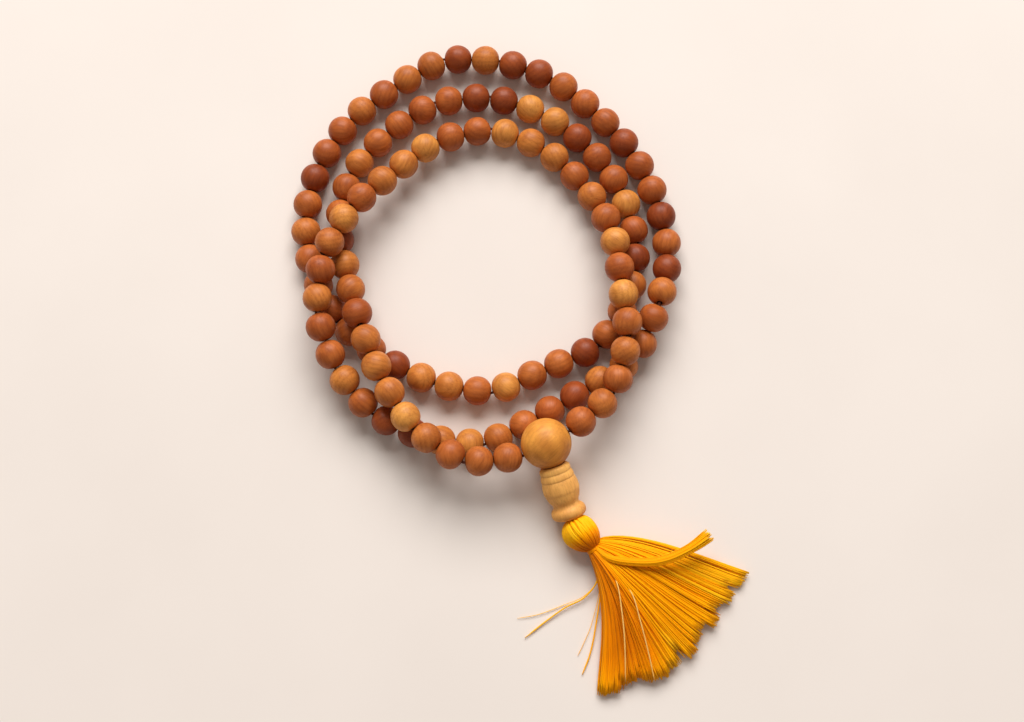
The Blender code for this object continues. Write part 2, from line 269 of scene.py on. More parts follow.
def cord_material():
    """Dark red-brown plied thread."""
    shading = Shading("cord_look", 0.85, Specular_IOR_Level=0.2)
    along = shading.attribute("grain", "Vector")
    fuzz = shading.noise(shading.scaled(along, (1.0, 1.0, 1.0)), 5.0, 3.0)
    shading.feed("Base Color", shading.ramp(fuzz, [
        (0.3, (0.055, 0.014, 0.010)), (0.7, (0.150, 0.040, 0.022))]))
    shading.bump(fuzz, 0.4, 0.0001)
    return shading.material


def thread_material():
    """Bright floss: shade runs from deep orange-brown through orange to warm yellow."""
    shading = Shading("thread_look", 0.48, Specular_IOR_Level=0.25)
    shading.shader.inputs["Specular Tint"].default_value = (1.0, 0.72, 0.12, 1.0)
    shading.shader.inputs["Sheen Weight"].default_value = 0.25
    shading.shader.inputs["Sheen Tint"].default_value = (1.0, 0.55, 0.05, 1.0)
    shading.shader.inputs["Sheen Roughness"].default_value = 0.4
    shade = shading.attribute("shade")
    grain = shading.attribute("grain", "Vector")
    fibre = shading.noise(shading.scaled(grain, (1.0, 1.0, 0.10)), 3.5, 3.0)
    base = shading.ramp(shade, [
        (0.0, (0.50, 0.110, 0.001)), (0.25, (0.72, 0.190, 0.001)), (0.5, (0.93, 0.310, 0.001)),
        (0.75, (1.0, 0.440, 0.002)), (0.92, (1.0, 0.540, 0.010)), (1.0, (0.95, 0.60, 0.22))])
    shading.feed("Base Color", shading.mix("MULTIPLY", 0.6, base, shading.ramp(fibre, [
        (0.3, (0.86, 0.76, 0.7)), (0.55, (1.0, 1.0, 1.0))])))
    shading.bump(fibre, 0.2, 0.00006)
    return shading.material


CORD_LOOK = cord_material()
THREAD_LOOK = thread_material()


# ---------------------------------------------------------------- camera


def make_camera():
    """The camera, at the usual view."""
    lens = bpy.data.cameras.new("camera")
    lens.lens = 50.0
    lens.sensor_width = 36.0
    lens.clip_start = 0.01
    camera = bpy.data.objects.new("camera", lens)
    bpy.context.scene.collection.objects.link(camera)
    camera.location = VIEW_TARGET + Vector((
        0.0, -VIEW_DISTANCE * math.sin(VIEW_TILT), VIEW_DISTANCE * math.cos(VIEW_TILT)))
    camera.rotation_euler = (VIEW_TILT, 0.0, 0.0)
    bpy.context.scene.camera = camera


make_camera()


# ---------------------------------------------------------------- cord


def pair_joint(number):
    """(centre, axis) of a pair of beads."""
    joint = JOINTS[f"turn_bead_pair_{number:02d}"]
    return Vector(joint["pos_m"]), Vector(joint["axis"])


PAIRS = [pair_joint(n) for n in range(1, 55)]
KNOTS = [PAIRS[0][0] - PAIRS[0][1] * BEAD_PITCH]
KNOTS += [centre + axis * BEAD_PITCH for centre, axis in PAIRS]


def rounded_route(corners, cut, step):
    """Points along a line of straight runs whose corners are rounded, close together."""
    line = [corners[0]]
    for before, corner, after in zip(corners, corners[1:], corners[2:]):
        into = corner + (before - corner).normalized() * cut
        out = corner + (after - corner).normalized() * cut
        for t in np.linspace(0.0, 1.0, 6):
            line.append(into * (1.0 - t) ** 2 + corner * 2.0 * t * (1.0 - t) + out * t ** 2)
    line.append(corners[-1])
    line = np.array([tuple(p) for p in line])
    reach = np.concatenate([[0.0], np.cumsum(np.linalg.norm(np.diff(line, axis=0), axis=1))])
    places = np.linspace(0.0, reach[-1], int(reach[-1] / step) + 1)
    return np.stack([np.interp(places, reach, line[:, k]) for k in range(3)], axis=1), reach[-1]


def swept_frames(path):
    """Two unit vectors across a path at each of its points, turning as little as they can."""
    along = np.gradient(path, axis=0)
    along /= np.linalg.norm(along, axis=1)[:, None]
    side = np.cross(along[0], (0.0, 0.0, 1.0))
    if np.linalg.norm(side) < 1e-6:
        side = np.array((1.0, 0.0, 0.0))
    sides = np.empty_like(path)
    for k, direction in enumerate(along):
        side = side - direction * side.dot(direction)
        side /= np.linalg.norm(side)
        sides[k] = side
    return sides, np.cross(along, sides)


def tube(path, radii, sides, frames=None):
    """Vertices and faces of a capped tube along a path."""
    across, over = frames or swept_frames(path)
    turn = np.linspace(0.0, 2.0 * math.pi, sides, endpoint=False)
    ring = np.cos(turn)[None, :, None] * across[:, None] + np.sin(turn)[None, :, None] * over[:, None]
    vertices = (path[:, None] + ring * np.asarray(radii)[:, None, None]).reshape(-1, 3)
    faces = rows_to_faces(len(path), sides)
    faces.append(tuple(range(sides))[::-1])
    faces.append(tuple(range((len(path) - 1) * sides, len(path) * sides)))
    return vertices, faces


def plied(path, diameter, plies, twist, sides=6):
    """Vertices, faces and along-the-cord places of plies twisted round a path."""
    across, over = swept_frames(path)
    reach = np.concatenate([[0.0], np.cumsum(np.linalg.norm(np.diff(path, axis=0), axis=1))])
    ply_radius = 0.27 * diameter
    offset = 0.5 * diameter - ply_radius
    vertices, faces, places = [], [], []
    for ply in range(plies):
        phase = 2.0 * math.pi * (reach / twist + ply / plies)
        shift = across * np.cos(phase)[:, None] + over * np.sin(phase)[:, None]
        points, quads = tube(path + shift * offset, np.full(len(path), ply_radius), sides)
        faces += [tuple(i + len(vertices) for i in face) for face in quads]
        vertices += points.tolist()
        for k in range(len(path)):
            places += [(ply * 3.0, s, reach[k] / MM) for s in np.linspace(0.0, 2.0, sides)]
    return vertices, faces, places


def make_cord():
    """The whole strand, from one mouth of the guru bead's bore to the other."""
    bore_start = GURU + STRAND_AXIS * 0.5 * MM
    bore_end = GURU - STRAND_AXIS * 0.5 * MM
    path, length = rounded_route([bore_start, *KNOTS, bore_end], CORD_CORNER, CORD_STEP)
    vertices, faces, places = plied(path, CORD_DIAMETER, CORD_PLIES, CORD_TWIST)
    cord = new_mesh("strand_cord", vertices, faces, CORD_LOOK)
    paint(cord, "grain", places, "FLOAT_VECTOR")
    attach(cord, "cord")
    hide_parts("cord_loop")


make_cord()


# ---------------------------------------------------------------- beads


def bead_half_length(bend):
    """How long half a bead can be next to a bend of the cord without touching its neighbour."""
    tilt = 0.5 * bend
    angles = np.linspace(0.2, 0.5 * math.pi - 0.01, 60)
    start = math.asin((BEAD_END_RADIUS / BEAD_RADIUS) ** (1.0 / BEAD_ROUNDNESS))
    room = 0.5 * BEAD_PITCH * math.cos(tilt) - 0.015 * MM
    side = BEAD_RADIUS * np.sin(angles) ** BEAD_ROUNDNESS * math.sin(tilt)
    reach = np.cos(angles) / math.cos(start) * math.cos(tilt)
    return min(float(((room - side) / reach).min()), 3.78 * MM)


def bead_profile(radius, low, high):
    """The closed (radius, height) section of one bead, with its bore and rounded mouths."""
    start = math.asin((BEAD_END_RADIUS / radius) ** (1.0 / BEAD_ROUNDNESS))
    points = []
    for angle in np.linspace(start, math.pi - start, BEAD_RINGS):
        half = high if angle < 0.5 * math.pi else low
        points.append((radius * math.sin(angle) ** BEAD_ROUNDNESS, half * math.cos(angle) / math.cos(start)))
    lip = 0.16 * MM
    top = [(BEAD_BORE, high - 3.0 * lip), (BEAD_BORE, high - 1.2 * lip), (BEAD_BORE + 0.4 * lip, high - 0.3 * lip)]
    bottom = [(BEAD_BORE + 0.4 * lip, -low + 0.3 * lip), (BEAD_BORE, -low + 1.2 * lip), (BEAD_BORE, -low + 3.0 * lip)]
    return top + points + bottom


def random_turn():
    """A random rotation, the same on each run."""
    q = RANDOM.normal(size=4)
    q /= np.linalg.norm(q)
    w, x, y, z = q
    return np.array([
        [1 - 2 * (y * y + z * z), 2 * (x * y - z * w), 2 * (x * z + y * w)],
        [2 * (x * y + z * w), 1 - 2 * (x * x + z * z), 2 * (y * z - x * w)],
        [2 * (x * z - y * w), 2 * (y * z + x * w), 1 - 2 * (x * x + y * y)]])


def bead_tone(number):
    """A bead's place between the darkest and the lightest wood."""
    middle = 0.5
    if number in LIGHT:
        middle = 0.93
    elif number in LIGHTISH:
        middle = 0.70
    elif number in DARK:
        middle = 0.20
    return float(np.clip(middle + RANDOM.uniform(-0.08, 0.08), 0.0, 1.0))


def make_pair(number):
    """Two beads on one straight run of the cord, each of its own wood."""
    centre, axis = PAIRS[number - 1]
    before = PAIRS[number - 2][1] if number > 1 else None
    after = PAIRS[number][1] if number < len(PAIRS) else None
    outer = []
    for neighbour in (before, after):
        bend = math.radians(24.0) if neighbour is None else axis.angle(neighbour)
        outer.append(bead_half_length(bend))
    inner = 3.78 * MM
    vertices, faces, tones, grains, bore_shades = [], [], [], [], []
    for side in (0, 1):
        radius = BEAD_RADIUS * RANDOM.uniform(0.972, 1.0)
        low, high = (outer[0], inner) if side == 0 else (inner, outer[1])
        points, quads = lathe(bead_profile(radius, low, high), BEAD_SIDES)
        points = np.array(points)
        # Hand-turned: very slightly out of round.
        turn = np.arctan2(points[:, 1], points[:, 0])
        phase = RANDOM.uniform(0.0, 6.28)
        points[:, :2] *= (1.0 - 0.006 * (1.0 + np.cos(2.0 * turn + phase)))[:, None]
        away = np.hypot(points[:, 0], points[:, 1])
        grains.append((points / MM) @ random_turn().T + RANDOM.uniform(-40.0, 40.0, 3))
        # Painted shade: darker in the bore and round its mouths.
        bore_shades.append(np.clip(1.3 - (away / MM - 0.62) / 0.22, 0.0, 1.0))
        tones.append(np.full(len(points), bead_tone(2 * number - 1 + side)))
        points[:, 2] += (side - 0.5) * BEAD_PITCH
        faces += [tuple(i + sum(len(v) for v in vertices) for i in face) for face in quads]
        vertices.append(points)
    pair = new_mesh(f"beads_{number:02d}", np.concatenate(vertices), faces, BEAD_WOOD)
    paint(pair, "tone", np.concatenate(tones))
    paint(pair, "grain", np.concatenate(grains), "FLOAT_VECTOR")
    paint(pair, "mouth", np.concatenate(bore_shades))
    pair.matrix_world = place(axis, centre)
    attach(pair, f"bead_pair_{number:02d}")
    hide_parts(f"bead_pair_{number:02d}")


for pair_number in range(1, len(PAIRS) + 1):
    make_pair(pair_number)


# ---------------------------------------------------------------- guru and tower


def cut_away(body, cutters):
    """Apply exact Boolean cuts and remove the cutters."""
    for cutter in cutters:
        cut = body.modifiers.new("cut", "BOOLEAN")
        cut.solver = "EXACT"
        cut.object = cutter
    bpy.context.view_layer.update()
    graph = bpy.context.evaluated_depsgraph_get()
    mesh = bpy.data.meshes.new_from_object(body.evaluated_get(graph))
    body.modifiers.clear()
    body.data = mesh
    for cutter in cutters:
        bpy.data.objects.remove(cutter, do_unlink=True)


def drill(axis, start, stop, radius, mouth):
    """A cutter along an axis from the guru bead's middle, flared where it leaves the bead."""
    profile = [(radius, start), (radius, stop - 0.7 * MM), (radius + 0.15 * MM, stop - 0.25 * MM),
               (mouth, stop + 0.4 * MM)]
    turn = np.linspace(0.0, 2.0 * math.pi, 24, endpoint=False)
    vertices = [(r * math.cos(a), r * math.sin(a), z) for r, z in profile for a in turn]
    faces = rows_to_faces(len(profile), 24)
    faces += [tuple(range(24))[::-1], tuple(range(3 * 24, 4 * 24))]
    cutter = new_mesh("cutter", vertices, faces, GURU_WOOD, smooth=False)
    cutter.matrix_world = place(axis, GURU)
    return cutter


def make_guru():
    """The large three-way bead, a little narrower towards the tower bead."""
    radius = 6.5 * MM
    shape = bmesh.new()
    bmesh.ops.create_uvsphere(shape, u_segments=64, v_segments=40, radius=radius)
    mesh = bpy.data.meshes.new("guru_bead_look")
    shape.to_mesh(mesh)
    shape.free()
    guru = bpy.data.objects.new("guru_bead_look", mesh)
    bpy.context.scene.collection.objects.link(guru)
    mesh.materials.append(GURU_WOOD)
    for vertex in mesh.vertices:
        reach = vertex.co.z / radius
        slim = 1.0 - 0.035 * max(reach, 0.0) ** 2 - 0.01 * max(-reach, 0.0)
        vertex.co.x *= slim
        vertex.co.y *= slim
    guru.matrix_world = place(PENDANT_AXIS, GURU)
    cut_away(guru, [
        drill(STRAND_AXIS, -1.0 * MM, 6.5 * MM, 0.7 * MM, 1.15 * MM),
        drill(-STRAND_AXIS, -1.0 * MM, 6.5 * MM, 0.7 * MM, 1.15 * MM),
        drill(PENDANT_AXIS, -0.5 * MM, 6.5 * MM, 0.95 * MM, 1.3 * MM)])
    guru.data.shade_smooth()
    points = np.array([tuple(v.co) for v in guru.data.vertices])
    turned = place(PENDANT_AXIS, GURU).to_3x3()
    world = points @ np.array(turned).T
    # Painted shade: darker in the bores and round their three mouths.
    to_bore = np.minimum(
        np.linalg.norm(np.cross(world, np.array(STRAND_AXIS)), axis=1),
        np.where(points[:, 2] > 0.0, np.hypot(points[:, 0], points[:, 1]), 1.0))
    paint(guru, "mouth", np.clip(1.2 - (to_bore / MM - 0.75) / 0.35, 0.0, 1.0))
    # Painted light and shade: lighter at the end away from the tower bead, darker towards it.
    paint(guru, "tone", np.clip(0.75 - 0.35 * points[:, 2] / radius, 0.0, 1.0))
    tilt = np.array(Matrix.Rotation(math.radians(62.0), 3, "X"))
    paint(guru, "grain", (points / MM) @ tilt.T + (17.0, 5.0, 31.0), "FLOAT_VECTOR")
    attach(guru, "guru")
    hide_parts("guru_bead")


def smooth_profile(points, per_span):
    """A finer (radius, height) line through the given points."""
    points = np.array(points)
    places = np.arange(len(points), dtype=float)
    slopes = np.gradient(points, axis=0)
    fine = np.linspace(0.0, len(points) - 1.0, (len(points) - 1) * per_span + 1)
    k = np.clip(fine.astype(int), 0, len(points) - 2)
    t = (fine - places[k])[:, None]
    return (points[k] * (2 * t ** 3 - 3 * t ** 2 + 1) + slopes[k] * (t ** 3 - 2 * t ** 2 + t)
            + points[k + 1] * (3 * t ** 2 - 2 * t ** 3) + slopes[k + 1] * (t ** 3 - t ** 2))


TOWER_SECTION = [
    (3.74, 6.30), (3.96, 6.55), (4.06, 6.95), (4.08, 7.35), (4.04, 7.62), (3.99, 7.80), (4.05, 7.98),
    (4.22, 8.35), (4.34, 8.85), (4.38, 9.25), (4.34, 9.52), (4.29, 9.68), (4.36, 9.86), (4.52, 10.4),
    (4.68, 11.3), (4.74, 12.2), (4.70, 12.85), (4.60, 13.20), (4.52, 13.50), (4.38, 14.1), (4.06, 15.0),
    (3.68, 15.7), (3.44, 16.2), (3.42, 16.6), (3.64, 17.1), (4.12, 17.5), (4.48, 18.1), (4.58, 18.9),
    (4.36, 19.6), (3.78, 20.1), (2.90, 20.35),
]


def make_tower():
    """The turned tower bead: dished top, two cut grooves and a third painted only as a faint line of shade, barrel,
    waist and flange.
    """
    outside = smooth_profile(TOWER_SECTION, 3)
    seat = 6.68
    inner = [(r, -math.sqrt(seat ** 2 - r ** 2)) for r in (1.0, 1.8, 2.6, 3.2)]
    end = TOWER_SECTION[-1][1]
    section = inner + [(r, -s) for r, s in outside]
    section += [(2.3, -end - 0.12), (1.5, -end - 0.12), (1.15, -end), (1.0, -end + 0.3), (1.0, -13.0)]
    section = [(r * MM, z * MM) for r, z in section]
    vertices, faces = lathe(section, 64)
    tower = new_mesh("tower_bead_look", vertices, faces, TOWER_WOOD)
    tower.matrix_world = place(-PENDANT_AXIS, GURU)
    points = np.array(vertices) / MM
    away = np.hypot(points[:, 0], points[:, 1])
    reach = -points[:, 2]
    # Painted shade: dark lines in the two cut grooves at 7.80 and 9.68 mm, a faint one at 13.30 mm where no groove is
    # cut, and darker in the bore.
    groove_shade = np.zeros(len(points))
    for place_mm, depth in ((7.80, 0.22), (9.68, 0.20), (13.30, 0.05)):
        groove_shade = np.maximum(groove_shade, depth * np.exp(-((reach - place_mm) / 0.20) ** 2))
    mouth = np.clip(1.2 - (away - 1.0) / 0.3, 0.0, 1.0)
    paint(tower, "mouth", np.maximum(mouth, 0.5 * groove_shade))
    turn = np.arctan2(points[:, 1], points[:, 0])
    knot = 0.55 * np.exp(-((reach - 14.0) / 0.9) ** 2) * np.exp(-((np.abs(turn - 1.2)) / 0.5) ** 2)
    paint(tower, "tone", np.clip(0.90 - knot - 0.35 * np.clip((reach - 16.5) / 2.5, 0.0, 1.0), 0.0, 1.0))
    paint(tower, "grain", points + (3.0, 70.0, 11.0), "FLOAT_VECTOR")
    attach(tower, "tower")
    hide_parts("tower_bead")


def make_cord_ends():
    """The cord's two ends, twisted together, from the guru bead to the tassel's head."""
    path = np.array([tuple(GURU + PENDANT_AXIS * s * MM) for s in np.linspace(1.3, 20.7, 60)])
    vertices, faces, places = plied(path, 1.2 * MM, 2, 3.0 * MM, 8)
    ends = new_mesh("cord_ends_look", vertices, faces, CORD_LOOK)
    paint(ends, "grain", places, "FLOAT_VECTOR")
    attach(ends, "guru")
    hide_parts("cord_ends")


make_guru()
make_tower()
make_cord_ends()


# ---------------------------------------------------------------- tassel


def bundle(name, strands, sides):
    """One piece from many threads, each (path in metres, radii, shade along it)."""
    vertices, faces, shades, grains = [], [], [], []
    for path, radii, shade in strands:
        points, quads = tube(path, radii, sides)
        faces += [tuple(i + len(vertices) for i in face) for face in quads]
        vertices += points.tolist()
        shades += np.repeat(shade, sides).tolist()
        reach = np.concatenate([[0.0], np.cumsum(np.linalg.norm(np.diff(path, axis=0), axis=1))]) / MM
        start = RANDOM.uniform(0.0, 500.0)
        for place_mm in reach:
            grains += [(start + c, 0.3 * c, place_mm) for c in np.linspace(0.0, 0.8, sides)]
    made = new_mesh(name, vertices, faces, THREAD_LOOK)
    paint(made, "shade", shades)
    paint(made, "grain", grains, "FLOAT_VECTOR")
    return made


HEAD_MIDDLE = -0.55
HEAD_UPPER = 4.1
HEAD_LOWER = 4.7
HEAD_NECK_RADIUS = 1.45
HEAD_SHIFT = np.array((-0.75, 0.15, 0.0)) * MM


def head_line(angles, bulge, turn, clearance):
    """Points down the head's side: a ball that narrows to the neck and lies flat on the table."""
    upper = angles < 0.5 * math.pi
    height = HEAD_MIDDLE - np.where(upper, HEAD_UPPER, HEAD_LOWER) * np.cos(angles)
    round_part = bulge * np.sin(angles) ** 0.85
    pear_part = HEAD_NECK_RADIUS + (bulge - HEAD_NECK_RADIUS) * np.sin(angles) ** 1.6
    radius = np.where(upper, round_part, pear_part)
    local = np.stack([radius * np.cos(turn), radius * np.sin(turn), height], axis=1) * MM
    frame_at_head = place(HEAD_AXIS, HEAD)
    line = np.array([tuple(frame_at_head @ Vector(p)) for p in local])
    line += np.outer(1.0 - np.clip(-np.cos(angles), 0.0, 1.0), HEAD_SHIFT)
    line[:, 2] = np.maximum(line[:, 2], clearance)
    return line, height


def make_head():
    """The ball of looped floss above the neck: a full core under loops from pole to neck."""
    strands = []
    loops = 60
    angles = np.linspace(0.07 * math.pi, 0.93 * math.pi, 24)
    for k in range(loops):
        around = 2.0 * math.pi * (k + RANDOM.uniform(-0.3, 0.3)) / loops
        lean = RANDOM.uniform(-0.12, 0.12)
        bulge = 4.22 + RANDOM.uniform(-0.08, 0.10) + 0.10 * math.cos(3.0 * around + 0.7)
        turn = around + lean * (angles - 0.5 * math.pi)
        path, height = head_line(angles, bulge, turn, 0.38 * MM)
        radii = (0.16 + 0.20 * np.sin(angles)) * MM
        # Painted shade: the loops darken towards the neck's crease and where the ball meets the tower bead.
        shade = 0.86 + RANDOM.uniform(-0.06, 0.06) - 0.70 * np.clip((height + 0.2) / 3.2, 0.0, 1.0)
        shade = shade - 0.30 * np.clip((-3.4 - height) / 1.2, 0.0, 1.0)
        strands.append((path, radii, shade))
    head = bundle("tassel_head_loops", strands, 6)
    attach(head, "tassel_head")
    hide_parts("tassel_head")

    sides = 40
    rings = np.linspace(0.03 * math.pi, 0.97 * math.pi, 26)
    lines = [head_line(rings, 4.28, np.full(len(rings), turn), 0.05 * MM)
             for turn in np.linspace(0.0, 2.0 * math.pi, sides, endpoint=False)]
    vertices = np.stack([line for line, _ in lines], axis=1).reshape(-1, 3)
    heights = np.repeat(lines[0][1], sides)
    faces = rows_to_faces(len(rings), sides)
    faces += [tuple(range(sides))[::-1], tuple(range((len(rings) - 1) * sides, len(rings) * sides))]
    core = new_mesh("tassel_head_core", vertices, faces, THREAD_LOOK)
    # Painted shade: the core under the loops is darker than they are, and darker still towards the neck.
    paint(core, "shade", 0.62 - 0.40 * np.clip((heights + 0.2) / 3.2, 0.0, 1.0))
    around = np.tile(np.arange(sides) * 0.63, len(rings))
    paint(core, "grain", np.stack([around, 0.0 * around, heights], axis=1), "FLOAT_VECTOR")
    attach(core, "tassel_head")


def make_neck():
    """The thread wound round the neck."""
    turns = 4.3
    along = np.linspace(0.0, 1.0, 120)
    angle = 2.0 * math.pi * turns * along
    start = HEAD + HEAD_AXIS * 3.55 * MM
    start.z = HINGE.z
    frame_at_neck = place(HEAD_AXIS, start)
    radius = 1.72
    local = np.stack([radius * np.cos(angle), radius * np.sin(angle), 1.35 * along], axis=1) * MM
    path = np.array([tuple(frame_at_neck @ Vector(p)) for p in local])
    binding = bundle("tassel_neck_binding", [(path, np.full(len(path), 0.21 * MM), np.full(len(path), 0.45))], 7)
    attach(binding, "tassel_head")


FAN_SHARES = [-1.0, -0.55, -0.25, 0.2, 0.6, 0.87, 1.0]
FAN_REACH = [35.5, 35.3, 36.8, 35.8, 36.4, 38.6, 40.0]
FAN_START_TURN = [-10.0, -5.0, 0.0, 10.0, 30.0, 52.0, 66.0]
FAN_END_TURN = [-50.0, -30.0, -10.0, 10.0, 24.0, 29.0, 32.0]
FAN_HALF = math.radians(39.5)
FAN_UNDERSIDE = [(0.0, 2.9), (3.0, 2.3), (6.0, 1.2), (9.0, 0.25), (50.0, 0.25)]
FAN_TOP = [(0.0, 5.5), (3.0, 6.0), (6.0, 6.5), (10.0, 6.8), (15.0, 6.6), (22.0, 5.5), (30.0, 3.9), (37.0, 2.6),
           (50.0, 1.6)]
FAN_FRAME = Matrix.Translation(Vector((NECK.x, NECK.y, 0.0))) @ Matrix.Rotation(FAN_HEADING, 4, "Z")


def fan_line(share, layer, reach_change, side_shift, steps=16):
    """A thread's line in the fan, in metres: share is its place across, layer its place in depth."""
    tip_turn = FAN_HALF * share
    reach = float(np.interp(share, FAN_SHARES, FAN_REACH)) + reach_change
    start_turn = math.radians(float(np.interp(share, FAN_SHARES, FAN_START_TURN)))
    end_turn = math.radians(float(np.interp(share, FAN_SHARES, FAN_END_TURN)))
    tip = reach * np.array((math.cos(tip_turn), math.sin(tip_turn)))
    upper = max(share, 0.0)
    first = np.array((-0.8 * upper ** 2, 1.25 * share + 1.25 * upper ** 2))
    hold = 12.0 - 2.0 * upper
    second = first + hold * np.array((math.cos(start_turn), math.sin(start_turn)))
    third = tip - 12.0 * np.array((math.cos(end_turn), math.sin(end_turn)))
    t = np.linspace(0.0, 1.0, steps)[:, None]
    plan = first * (1 - t) ** 3 + second * 3 * t * (1 - t) ** 2 + third * 3 * t ** 2 * (1 - t) + tip * t ** 3
    away = np.linalg.norm(plan, axis=1)
    low = np.interp(away, *zip(*FAN_UNDERSIDE))
    high = np.interp(away, *zip(*FAN_TOP))
    thin = 1.0 - 0.35 * share ** 2
    height = low + (high - low) * layer * thin
    across = np.gradient(plan, axis=0)
    across /= np.linalg.norm(across, axis=1)[:, None]
    plan = plan + np.stack([-across[:, 1], across[:, 0]], axis=1) * side_shift[:, None]
    local = np.stack([plan[:, 0], plan[:, 1], height], axis=1) * MM
    return np.array([tuple(FAN_FRAME @ Vector(p)) for p in local])


# Floss colour across the fan: partly its own colour, partly painted shade on the lower side.
FAN_SHADE_SHARES = [-1.0, -0.8, -0.55, -0.3, -0.05, 0.5, 1.0]
FAN_SHADES = [0.42, 0.24, 0.20, 0.36, 0.62, 0.68, 0.82]


def fan_shade(share, layer):
    """The floss is yellow along the upper edge and deep orange at the other: partly its own colour, partly painted
    shade on the lower side; lower layers get painted shade from the layers above.
    """
    return float(np.interp(share, FAN_SHADE_SHARES, FAN_SHADES)) + 0.10 * (layer - 0.5)


CLUMP_EDGES = [-1.0, -0.77, -0.53, -0.24, -0.10, 0.0, 0.13, 0.26, 0.40, 0.52, 0.66, 0.78, 0.85, 1.0]
CLUMP_CUTS = [0.8, -0.7, 0.3, -0.6, -3.2, 0.6, -0.5, -1.9, 0.5, -1.3, 0.4, -2.3, 0.4]
LOCKS_ACROSS = 52
THREADS_A_LOCK = 9
LAYERS = (0.10, 0.45, 0.72, 0.97)


def make_skirt():
    """The fan of loose floss: layers of locks that gather into clumps towards their cut ends."""
    steps = 16
    t = np.linspace(0.0, 1.0, steps)
    layered = [[] for _ in LAYERS]
    for low, high, clump_cut in zip(CLUMP_EDGES, CLUMP_EDGES[1:], CLUMP_CUTS):
        middle = 0.5 * (low + high)
        locks = round(0.5 * LOCKS_ACROSS * (high - low))
        for n in range(locks):
            for number, layer_base in enumerate(LAYERS):
                base = low + (high - low) * (n + RANDOM.uniform(0.1, 0.9)) / locks
                at_tip = middle + (base - middle) * 0.82
                tone = RANDOM.uniform(-0.06, 0.06)
                cut = clump_cut + RANDOM.uniform(-0.5, 0.5) - 1.5 * (1.0 - layer_base) * RANDOM.uniform(0.0, 1.0)
                width = RANDOM.uniform(0.42, 0.70)
                wave = RANDOM.uniform(-0.35, 0.35)
                phase = RANDOM.uniform(0.0, 6.28)
                lift = RANDOM.uniform(-0.06, 0.06)
                for _ in range(THREADS_A_LOCK):
                    spread = RANDOM.normal(0.0, width)
                    drift = (at_tip - base) * 33.0 * FAN_HALF * t ** 3
                    shift = spread * np.sqrt(t) + wave * np.sin(3.0 * t + phase) * t + drift
                    layer = layer_base + lift + RANDOM.uniform(-0.07, 0.07) - 0.10 * (spread / width) ** 2 * 0.5
                    layer = float(np.clip(layer, 0.0, 1.06))
                    path = fan_line(base, layer, cut + RANDOM.uniform(-0.8, 0.5), shift, steps)
                    radii = np.interp(t, [0.0, 0.15, 0.5, 0.95, 1.0], [0.10, 0.15, 0.185, 0.175, 0.10]) * MM
                    shade = fan_shade(base, layer) + tone + RANDOM.uniform(-0.035, 0.035)
                    # Darker at the roots by the neck and lighter at the cut ends, most of all on the lower half, where
                    # the painted shade of the shafts gives way at the ends.
                    shade = shade + np.interp(t, [0.0, 0.2, 0.75, 1.0], [-0.14, 0.0, 0.0, 0.34 if base < 0.0 else 0.06])
                    layered[number].append((path, radii, np.clip(shade, 0.0, 0.90)))
    pieces = []
    for number, strands in enumerate(layered):
        pieces.append(bundle(f"tassel_skirt_layer_{number + 1}", strands, 4))
    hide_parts("tassel_skirt")
    return pieces


def make_underlay():
    """A thin ribbed body of matted floss that fills the fan between its loose threads."""
    rows, columns = 16, 90
    top, bottom = [], []
    for c in range(columns):
        share = -0.97 + 1.94 * c / (columns - 1)
        ridge = 0.5 + 0.5 * math.sin(c * 2.3)
        cut = -3.6 - 1.5 * math.sin(c * 1.7) ** 2
        top.append(fan_line(share, 0.84 + 0.07 * ridge, cut, np.zeros(rows), rows))
        bottom.append(fan_line(share, 0.10, cut, np.zeros(rows), rows))
    vertices, faces = [], []
    for row in range(rows):
        vertices += [top[c][row] for c in range(columns)] + [bottom[c][row] for c in reversed(range(columns))]
    around = 2 * columns
    faces = rows_to_faces(rows, around)
    faces += [tuple(range(around))[::-1], tuple(range((rows - 1) * around, rows * around))]
    underlay = new_mesh("tassel_skirt_body", vertices, faces, THREAD_LOOK)
    shares = np.linspace(-1.0, 1.0, columns)
    # The fan's colour with its painted shade, a little darker as painted shade beneath the loose threads.
    ring = [fan_shade(s, 0.6) - 0.02 for s in shares]
    paint(underlay, "shade", np.tile(ring + ring[::-1], rows))
    grain = []
    for row in range(rows):
        grain += [(c * 0.9, 0.0, row * 2.5) for c in range(columns)]
        grain += [(c * 0.9 + 300.0, 0.0, row * 2.5) for c in reversed(range(columns))]
    paint(underlay, "grain", grain, "FLOAT_VECTOR")
    return underlay


def free_line(points, steps):
    """A smooth line through points given in millimetres from the neck, in plan and from the table."""
    points = np.array(points)
    k = np.arange(len(points), dtype=float)
    slopes = np.gradient(points, axis=0)
    fine = np.linspace(0.0, len(points) - 1.0, steps)
    i = np.clip(fine.astype(int), 0, len(points) - 2)
    t = (fine - k[i])[:, None]
    line = (points[i] * (2 * t ** 3 - 3 * t ** 2 + 1) + slopes[i] * (t ** 3 - 2 * t ** 2 + t)
            + points[i + 1] * (3 * t ** 2 - 2 * t ** 3) + slopes[i + 1] * (t ** 3 - t ** 2))
    return line * MM + np.array((NECK.x, NECK.y, 0.0))


